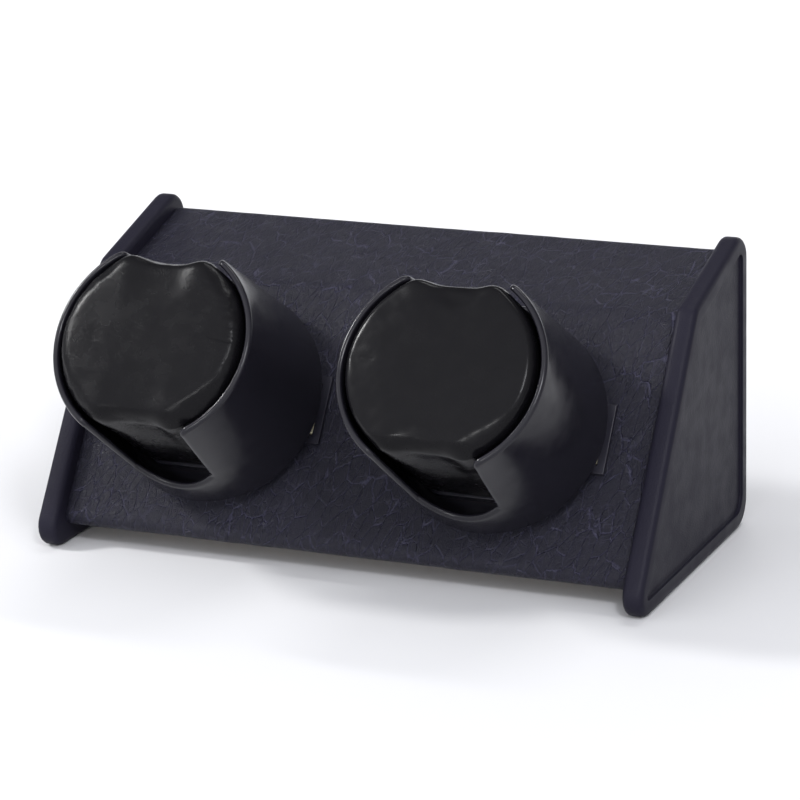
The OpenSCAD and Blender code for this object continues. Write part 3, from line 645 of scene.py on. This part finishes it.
def build_cup(side, material):
    """The cup as rows round its axis: under the floor, up, over the lip, down and through the hub."""
    theta, height = cup_edge()
    # The whole edge, from one notch round to itself
    th = np.concatenate([theta, math.pi - theta[-2::-1]])
    hh = np.concatenate([height, height[-2::-1]])
    th = np.concatenate([th, 2 * math.pi - th[-2:0:-1]])
    hh = np.concatenate([hh, hh[-2:0:-1]])
    n = len(th)
    # The edge's direction, and its normal (ns, nz) within the wall, towards the free side
    rad = cup_radius(hh) - CUP_WALL / 2
    ahead_t = np.unwrap(np.roll(th, -1) - np.roll(th, 1))
    ahead_t = np.mod(ahead_t + math.pi, 2 * math.pi) - math.pi
    ds, dz = ahead_t * rad, np.roll(hh, -1) - np.roll(hh, 1)
    length = np.hypot(ds, dz)
    ns, nz = -dz / length, ds / length
    lip = CUP_WALL / 2
    tc, zc = th - ns * lip / rad, hh - nz * lip
    rows = []

    def row(radius, t, z):
        radius, z = radius + 0 * t, z + 0 * t
        rows.append(np.stack([radius * np.sin(t), radius * np.cos(t), z], -1))

    # Underside of the floor, and the round foot of the wall
    for r in FLOOR_RINGS:
        row(r, tc, CUP_GAP)
    for k in range(7):
        a = math.radians(15 * k)
        foot = cup_radius(CUP_GAP) - FOOT_R + FOOT_R * math.sin(a)
        row(foot, tc, CUP_GAP + FOOT_R * (1 - math.cos(a)))
    # Outside of the wall, lip, inside of the wall
    section = lip_section(lip, *LIP)
    mid = cup_radius(zc) - lip
    wall_t, wall_z = tc + ns * section[0][1] / mid, zc + nz * section[0][1]
    low = CUP_GAP + FOOT_R
    for t in np.linspace(0, 1, WALL_STEPS)[1:-1]:
        z = low + (wall_z - low) * t
        row(cup_radius(z), tc + (wall_t - tc) * t, z)
    for across, along in section:
        row(mid + across, tc + ns * along / mid, zc + nz * along)
    floor_z = CUP_GAP + FLOOR_T
    for t in np.linspace(0, 1, INNER_STEPS):
        z = zc + (floor_z + FOOT_R - zc) * t
        row(cup_radius(z) - CUP_WALL, tc, z)
    # Round corner inside, and the top of the floor
    inner_r = cup_radius(floor_z) - CUP_WALL
    for k in range(1, 7):
        a = math.radians(15 * k)
        row(inner_r - FOOT_R + FOOT_R * math.cos(a), tc, floor_z + FOOT_R * (1 - math.sin(a)))
    for r in reversed(FLOOR_RINGS):
        row(r, tc, floor_z)
    # Hub: the rows of both ends are joined through it
    row(BUSH_R, tc, floor_z)
    row(BUSH_R, tc, CUP_GAP - HUB_DROP)
    row(HUB_R, tc, CUP_GAP - HUB_DROP)
    row(HUB_R, tc, CUP_GAP - 0.02)
    faces = ring_faces(len(rows), n)
    end = (len(rows) - 1) * n
    faces += [(end + k, end + (k + 1) % n, (k + 1) % n, k) for k in range(n)]
    obj = make_object(f"{side}_cup_shell", np.concatenate(rows), faces, UNIT[side], sharp_deg=50)
    obj.data.materials.append(material)
    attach(obj, f"{side}_cup")
    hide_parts(f"{side}_cup")


# ---- Cuffs ----

RING_POINTS = 144


def cuff_ring(r, flat, corner):
    """A circle of radius r cut off at plus and minus flat, with soft corners, at even steps."""
    x = math.sqrt((r - corner) ** 2 - (flat - corner) ** 2)
    a0 = math.atan2(flat - corner, x)
    pts = []
    for a in np.linspace(-a0, a0, 31):
        pts.append((r * math.cos(a), r * math.sin(a)))
    for a in np.linspace(a0, math.pi / 2, 9)[1:]:
        pts.append((x + corner * math.cos(a), flat - corner + corner * math.sin(a)))
    for t in np.linspace(x, -x, 17)[1:]:
        pts.append((t, flat))
    for a in np.linspace(math.pi / 2, math.pi - a0, 9)[1:]:
        pts.append((-x + corner * math.cos(a), flat - corner + corner * math.sin(a)))
    full = np.array(pts + [(-p[0], -p[1]) for p in pts])
    keep = [0]
    for i in range(1, len(full)):
        if np.hypot(*(full[i] - full[keep[-1]])) > 1e-6:
            keep.append(i)
    full = full[keep]
    if np.hypot(*(full[-1] - full[0])) < 1e-6:
        full = full[:-1]
    closed = np.concatenate([full, full[:1]])
    arc = np.concatenate([[0], np.cumsum(np.hypot(*np.diff(closed, axis=0).T))])
    at = np.arange(RING_POINTS) / RING_POINTS * arc[-1]
    return np.stack([np.interp(at, arc, closed[:, 0]), np.interp(at, arc, closed[:, 1])], -1)


# How far each ring of the cuff lies inside its full outline, by height: back, side, tight edge
CUFF_PROFILE = (
    (CUFF_BACK + 0.3, 4.4), (CUFF_BACK + 0.9, 2.8), (CUFF_BACK + 2.4, 1.4), (CUFF_BACK + 5, 0.8),
    *((z, 0.45) for z in range(21, 68, 3)),
    (69.2, 0.5), (70.3, 0.7), (71.2, 1.05), (71.9, 1.5), (72.4, 2.0), (72.75, 2.6), (72.95, 3.4),
)
CORNER_R = 6.0
FACE_H, FACE_CROWN = 73.0, 0.8
FACE_RINGS = (0.96, 0.88, 0.77, 0.64, 0.5, 0.36, 0.22, 0.08)


def cuff_shape():
    """Rings of the cuff: its rounded back, its straight side, the edge of its face, and the face."""
    rings = []
    for z, inset in CUFF_PROFILE:
        ring = cuff_ring(CUFF_R - inset, CUFF_FLAT - inset * 0.9, CORNER_R)
        rings.append(np.column_stack([ring, np.full(len(ring), z)]))
    outer = rings[-1][:, :2]
    n = len(outer)
    for f in FACE_RINGS:
        rings.append(np.column_stack([outer * f, np.full(n, FACE_H + FACE_CROWN * (1 - f * f))]))
    faces = ring_faces(len(rings), n)
    faces.append(tuple(range(n - 1, -1, -1)))
    faces.append(tuple((len(rings) - 1) * n + k for k in range(n)))
    return np.concatenate(rings), faces


def points_of(mesh):
    """The points of a mesh as rows of three numbers, in metres."""
    p = np.zeros(len(mesh.vertices) * 3)
    mesh.vertices.foreach_get("co", p)
    return p.reshape(-1, 3)


def move_points(mesh, points):
    mesh.vertices.foreach_set("co", points.astype(np.float32).ravel())
    mesh.update()


CLOTH_FRAMES = 20


def simulate(obj, cap, pressure, grow):
    """Swells a closed mesh as cloth, and keeps every point within cap mm of where it began."""
    bpy.context.view_layer.objects.active = obj
    for o in scene.objects:
        o.select_set(o == obj)
    start = points_of(obj.data)
    cloth = obj.modifiers.new("cloth", "CLOTH")
    st = cloth.settings
    st.quality = 6
    st.mass = 0.25
    st.tension_stiffness = 20
    st.compression_stiffness = 12
    st.bending_stiffness = 0.6
    st.use_pressure = True
    st.uniform_pressure_force = pressure
    st.shrink_min = grow
    st.effector_weights.gravity = 0
    cloth.collision_settings.use_collision = False
    cloth.point_cache.frame_start, cloth.point_cache.frame_end = 1, CLOTH_FRAMES
    for f in range(1, CLOTH_FRAMES + 1):
        scene.frame_set(f)
    dg = bpy.context.evaluated_depsgraph_get()
    moved = points_of(obj.evaluated_get(dg).to_mesh())
    obj.evaluated_get(dg).to_mesh_clear()
    obj.modifiers.remove(cloth)
    scene.frame_set(1)
    step = moved - start
    size = np.linalg.norm(step, axis=1, keepdims=True)
    step *= np.minimum(1, cap * MM / np.maximum(size, 1e-12))
    move_points(obj.data, start + step)


def apply_modifier(obj, kind, **settings):
    """Adds one modifier to an object and keeps its result as the object's mesh."""
    mod = obj.modifiers.new(kind.lower(), kind)
    for key, value in settings.items():
        setattr(mod, key, value)
    dg = bpy.context.evaluated_depsgraph_get()
    mesh = bpy.data.meshes.new_from_object(obj.evaluated_get(dg))
    obj.modifiers.remove(mod)
    obj.data = mesh


def relax(obj, rounds):
    """Smooths a mesh by moving each point half way to the middle of its neighbours."""
    axes = dict(use_axis_x=True, use_axis_y=True, use_axis_z=True)
    bm = bmesh.new()
    bm.from_mesh(obj.data)
    for _ in range(rounds):
        bmesh.ops.smooth_vert(bm, verts=bm.verts, factor=0.5, **axes)
    bm.to_mesh(obj.data)
    bm.free()


def groove(p, a, b, width):
    """How near points p are to the segment from a to b: 1 on it, 0 at width and beyond."""
    a, b = np.array(a, float), np.array(b, float)
    t = np.clip(((p - a) @ (b - a)) / ((b - a) @ (b - a)), 0, 1)
    d = np.linalg.norm(p - (a + t[:, None] * (b - a)), axis=1)
    return 1 - smoothstep(0, width, d)


def dent_face(side, x, y, on_face):
    """How deep the fine folds and marks of a cuff's face are."""
    q = np.column_stack([x, y])
    if side == "left":
        patch = smoothstep(12, 20, x) * (1 - smoothstep(13, 20, np.abs(y - 9)))
        across = x / 6.0 + 0.5 * noise2(x / 4, y / 2, 31)
        along = y / 0.85 + 0.5 * noise2(x / 3, y / 3, 32)
        depth = 0.3 * groove(q, (24, 2.5), (32, 1.5), 0.8) - 0.10 * patch * noise2(across, along, 33)
    else:
        depth = 0.10 * groove(q, (-28.5, 0.6), (-23.5, 0.0), 0.55)
        hook = ((19.0, 0.2), (22.3, 1.6), (26.6, 1.4), (25.0, -2.0))
        for a, b in zip(hook, hook[1:]):
            depth = depth + 0.14 * groove(q, a, b, 0.55)
    return on_face * (depth - 0.03 * noise2(x / 7.5, y / 7.5, 34))


def build_cuff(side, material):
    """A padded cuff, swelled as cloth in its winding unit's frame, then pressed by a bracelet."""
    verts, faces = cuff_shape()
    obj = make_object(f"{side}_cuff_pad", verts, faces)
    apply_modifier(obj, "REMESH", mode="VOXEL", voxel_size=1.1 * MM)
    relax(obj, 2)
    simulate(obj, cap=0.5, pressure=4.0, grow=-0.008 if side == "left" else 0.0)
    relax(obj, 2)
    apply_modifier(obj, "SUBSURF", levels=1, render_levels=1)
    mesh = obj.data
    x, y, z = (points_of(mesh) / MM).T
    # The bed that a bracelet leaves over the middle of the face, and down both flat sides
    bed = np.exp(-((x / 10.5) ** 4))
    hump = np.exp(-(((np.abs(x) - 14.0) / 5.5) ** 2))
    to_edge = smoothstep(8, 29, np.abs(y))
    high = smoothstep(40, 62, z)
    face = smoothstep(66, 72, z)
    y = np.where(y < 0, y * 0.975, y)
    y += np.sign(y) * to_edge * high * (0.9 * hump - 0.8 * bed)
    z += face * (0.25 * hump * to_edge - bed * (0.12 + 0.6 * to_edge))
    # The lower edge is worn round
    corner = smoothstep(27.5, 34.5, 0.6 * x - 0.8 * y)
    z -= face * (2.0 * corner + 1.2 * smoothstep(25.5, 30, -y))
    z -= dent_face(side, x, y, smoothstep(70.5, 72.5, z))
    # Held by the cup's wings and by its floor
    k = np.minimum(1, (CUFF_R + 0.3) / np.maximum(np.hypot(x, y), 1e-6))
    z = np.clip(z, CUFF_BACK - 0.2, CUFF_TOP + 0.4)
    move_points(mesh, in_unit(np.column_stack([x * k, y * k, z]) * MM, UNIT[side]))
    mesh.shade_smooth()
    mesh.materials.clear()
    mesh.materials.append(material)
    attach(obj, f"{side}_cuff")
    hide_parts(f"{side}_cuff_cover", f"{side}_cuff_foam")


# ---- Build ----

leather = make_leather()
cup_plastic = moulded(
    "cup_plastic", (0.0088, 0.0083, 0.0118), 0.20,
    grain=0.012, grain_scale=3000, vary=0.04, Specular_IOR_Level=0.25,
)
black_plastic = moulded("black_plastic", (0.0110, 0.0104, 0.0175), 0.42, grain=0.25)
plate_plastic = make_plate_plastic()
cuff_leather = {
    "left": make_cuff_leather("cuff_leather_left", 0.24, 0.3),
    "right": make_cuff_leather("cuff_leather_right", 0.22, 0.06),
}
finishes = {
    "board_wood": make_board(),
    "foam": make_foam(),
    "black_plastic": black_plastic,
    "housing_plastic": moulded("housing_plastic", (0.66, 0.64, 0.58), 0.5, grain=0.3),
    "gear_plastic": moulded(
        "gear_plastic", (0.80, 0.78, 0.70), 0.36, grain=0.1, vary=0.05, Subsurface_Weight=0.1
    ),
    "knob_plastic": moulded("knob_plastic", (0.72, 0.66, 0.48), 0.45, grain=0.2, vary=0.06),
    "steel": metal("zinc_plated_steel", (0.62, 0.62, 0.64), 0.34),
    "brass": metal("sintered_bronze", (0.70, 0.50, 0.24), 0.45, scale=2200),
    "cell_wrap": moulded("cell_sleeve", (0.40, 0.26, 0.07), 0.28, grain=0.08, vary=0.06),
    "board_green": make_circuit(),
    "wire": moulded("wire_insulation", (0.32, 0.02, 0.02), 0.42, grain=0.1),
    "end_plate_plastic": plate_plastic,
    "cup_plastic": cup_plastic,
    "leather": leather,
    "cuff_leather": cuff_leather["right"],
}
slots = {part["node"]: part["material_slot"] for part in frame["record"]["subparts"]}
for name, node in nodes.items():
    node.data.materials.clear()
    node.data.materials.append(finishes[slots[name]])

build_leather(leather)
for side in SIDES:
    build_cup(side, cup_plastic)
    build_cuff(side, cuff_leather[side])
    rounded_copy(f"{side}_end_plate", 0.25, plate_plastic, segments=2, angle=40)
    rounded_copy(f"{side}_bezel", 0.35, black_plastic)
    rounded_copy(f"{side}_switch_knob", 0.3, finishes["knob_plastic"])
    rounded_copy(f"{side}_cuff_base", 0.5, black_plastic)
for name in ("back_panel", "battery_door"):
    rounded_copy(name, 0.25, black_plastic)


# ---- Stage, light, camera ----

# A pale sheet of floor that rises behind the object
FLOOR_STEPS, FLOOR_HALF_X, FLOOR_HALF_Y, FLOOR_BEND, FLOOR_RISE = 60, 4000, 3000, 1500, 1200
floor_look = Shade("studio_floor", (0.66, 0.66, 0.67), 0.6)
floor_look.colour(floor_look.noise(floor_look.place(), 3, 2), (0.65, 0.65, 0.66), (0.67, 0.67, 0.68))
points, faces = [], []
for i in range(FLOOR_STEPS + 1):
    y = -FLOOR_HALF_Y + 2 * FLOOR_HALF_Y * (i / FLOOR_STEPS)
    bend = max(0.0, (y - FLOOR_BEND) / FLOOR_BEND)
    points += [(x, y, FLOOR_RISE * bend * bend) for x in (-FLOOR_HALF_X, FLOOR_HALF_X)]
for i in range(FLOOR_STEPS):
    faces.append((2 * i, 2 * i + 1, 2 * i + 3, 2 * i + 2))
floor = make_object("studio_floor", points, faces)
floor.data.materials.append(floor_look.mat)

# A soft room: brighter in front of the object than behind it
world = bpy.data.worlds.new("studio")
world.use_nodes = True
sky = world.node_tree
sky.nodes["Background"].inputs["Color"].default_value = (0.95, 0.96, 1.0, 1)
facing = sky.nodes.new("ShaderNodeTexCoord")
split = sky.nodes.new("ShaderNodeSeparateXYZ")
fade = sky.nodes.new("ShaderNodeMapRange")
fade.inputs["From Min"].default_value, fade.inputs["From Max"].default_value = -0.65, 0.45
fade.inputs["To Min"].default_value, fade.inputs["To Max"].default_value = 1.55, 0.2
sky.links.new(facing.outputs["Generated"], split.inputs["Vector"])
sky.links.new(split.outputs["Y"], fade.inputs["Value"])
sky.links.new(fade.outputs["Result"], sky.nodes["Background"].inputs["Strength"])
scene.world = world
scene.view_settings.view_transform = "Standard"


def area_light(name, at, aim, size, power, colour=(1, 1, 1)):
    """A rectangular light at a place, aimed at a point: metres and watts."""
    light = bpy.data.lights.new(name, "AREA")
    light.shape = "RECTANGLE"
    light.size, light.size_y = size
    light.energy = power
    light.color = colour
    obj = bpy.data.objects.new(name, light)
    scene.collection.objects.link(obj)
    obj.location = at
    obj.rotation_mode = "QUATERNION"
    obj.rotation_quaternion = (Vector(at) - Vector(aim)).to_track_quat("Z", "Y")


area_light("left", (-1.15, -0.35, 0.95), (0, 0, 0.06), (0.22, 0.22), 14)
area_light("right", (0.72, -0.96, 1.04), (0, 0, 0.06), (0.16, 0.24), 9, (0.95, 0.96, 1.0))
area_light("front", (0.1, -1.65, 0.45), (0, 0, 0.06), (0.40, 0.08), 5.5)
area_light("top", (0.1, 0.45, 1.2), (0, 0, 0.06), (0.6, 0.12), 3)
area_light("backdrop", (0, 0.7, 1.3), (0, 2.6, 0.4), (3.0, 0.4), 45)

# The photo's camera, solved from the object's outlines
SENSOR, FRAME_PX, FOCAL_PX = 36.0, 800, 3423.06
EYE = (501.0307, -1086.9432, 419.2896)
azimuth, elevation, roll = (math.radians(a) for a in (24.1726, 16.7866, -1.6670))
level = math.cos(elevation)
back = Vector((math.sin(azimuth) * level, -math.cos(azimuth) * level, math.sin(elevation)))
right = (-back).cross(Vector((0, 0, 1))).normalized()
up = right.cross(-back)
turned_right = right * math.cos(roll) + up * math.sin(roll)
turned_up = up * math.cos(roll) - right * math.sin(roll)
camera = bpy.data.objects.new("camera", bpy.data.cameras.new("camera"))
scene.collection.objects.link(camera)
pose = Matrix((turned_right, turned_up, back)).transposed().to_4x4()
pose.translation = Vector(EYE) * MM
camera.matrix_world = pose
camera.data.sensor_width = SENSOR
camera.data.lens = FOCAL_PX / FRAME_PX * SENSOR
camera.data.clip_start, camera.data.clip_end = 0.05, 20
scene.camera = camera
